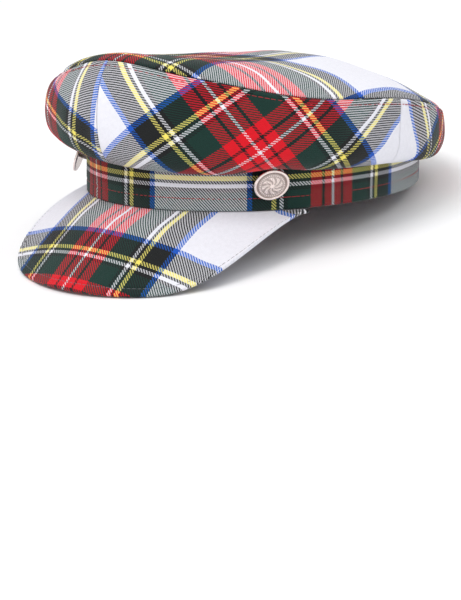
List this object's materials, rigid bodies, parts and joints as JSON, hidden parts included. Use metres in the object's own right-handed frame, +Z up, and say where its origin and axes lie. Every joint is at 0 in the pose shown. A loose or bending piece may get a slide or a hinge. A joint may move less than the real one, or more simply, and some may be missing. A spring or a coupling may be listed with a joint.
{
  "type": "peaked cap",
  "caption": "Soft peaked cap with a full quartered crown, a straight band, a stiff curved peak and metal buttons, resting on a surface.",
  "frame": {"origin": "middle of the cap's footprint on the surface that it rests on", "axes": "+Z up, -Y towards the peak (the wearer's front), +X towards the wearer's left"},
  "size_m": [0.205, 0.2754, 0.112],
  "materials": {
    "crown_cloth": "white-ground dress tartan twill",
    "band_cloth": "white-ground dress tartan twill",
    "peak_cloth": "white-ground dress tartan twill",
    "button_metal": "pale cast metal, lightly polished"
  },
  "bodies": {
    "root": {"crown_top": "crown_cloth", "crown_quarter_front_left": "crown_cloth", "crown_quarter_back_left": "crown_cloth", "crown_quarter_back_right": "crown_cloth", "crown_quarter_front_right": "crown_cloth", "band": "band_cloth", "peak": "peak_cloth", "button_left": "button_metal", "button_right": "button_metal"}
  },
  "joints": []
}
